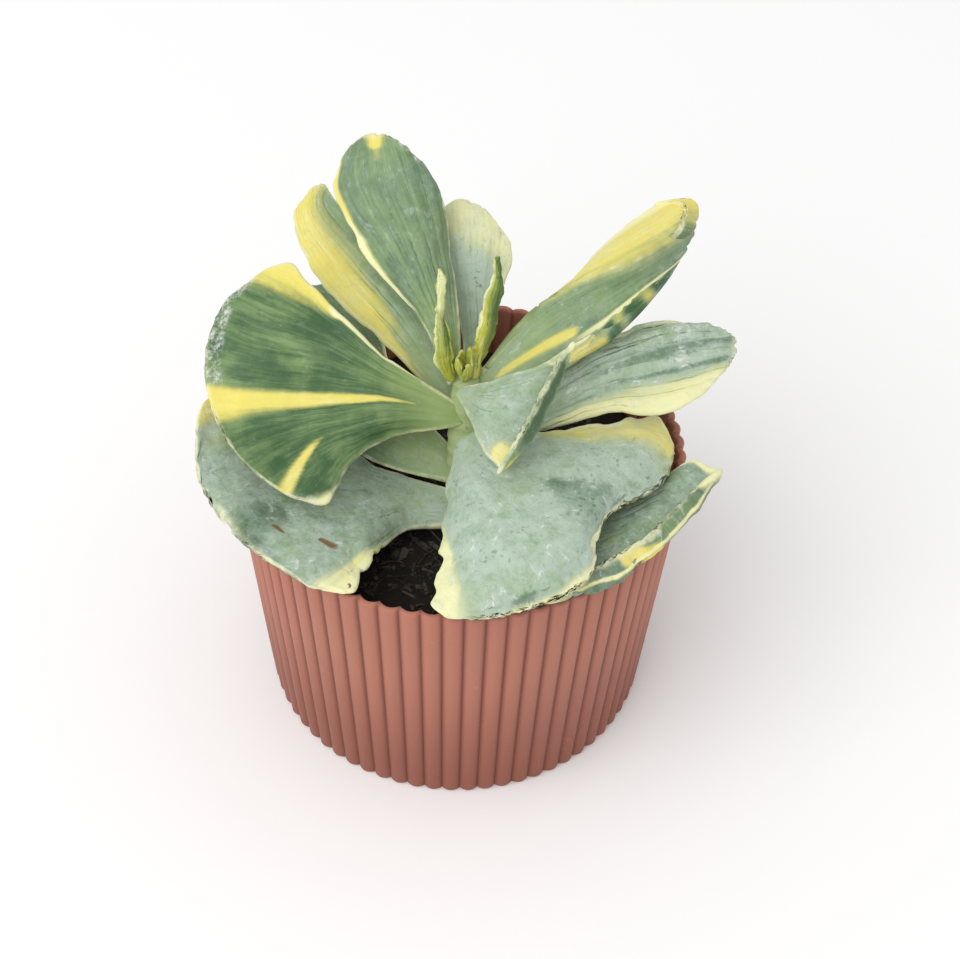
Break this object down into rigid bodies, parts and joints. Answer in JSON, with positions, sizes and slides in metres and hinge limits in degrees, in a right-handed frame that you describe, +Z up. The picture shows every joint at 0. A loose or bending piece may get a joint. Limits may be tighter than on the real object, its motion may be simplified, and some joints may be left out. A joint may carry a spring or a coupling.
{
  "type": "potted variegated silver crown",
  "caption": "Small succulent with fan-shaped variegated green and cream leaves on a short stem, standing in dark soil in a tapered fluted plastic pot.",
  "frame": {"origin": "centre of the pot's flat underside", "axes": "+Z up, -Y towards the side that the picture shows, +X to its right"},
  "size_m": [0.1308, 0.1148, 0.1405],
  "materials": {
    "pot_plastic": "matte",
    "potting_soil": "matte",
    "stem_skin": "satin",
    "variegated_leaf": "satin",
    "young_leaf": "satin"
  },
  "bodies": {
    "root": {"pot": "pot_plastic", "soil": "potting_soil", "stem": "stem_skin", "left_fan_leaf": "variegated_leaf", "lower_left_leaf": "variegated_leaf", "back_tall_leaf": "variegated_leaf", "back_yellow_leaf": "variegated_leaf", "back_pale_leaf": "variegated_leaf", "lower_back_leaf": "variegated_leaf", "upper_right_leaf": "variegated_leaf", "right_grey_leaf": "variegated_leaf", "front_wide_leaf": "variegated_leaf", "front_right_leaf": "variegated_leaf", "front_folded_leaf": "variegated_leaf", "left_bud_leaf": "young_leaf", "right_bud_leaf": "young_leaf", "growing_tip": "young_leaf"}
  },
  "joints": []
}
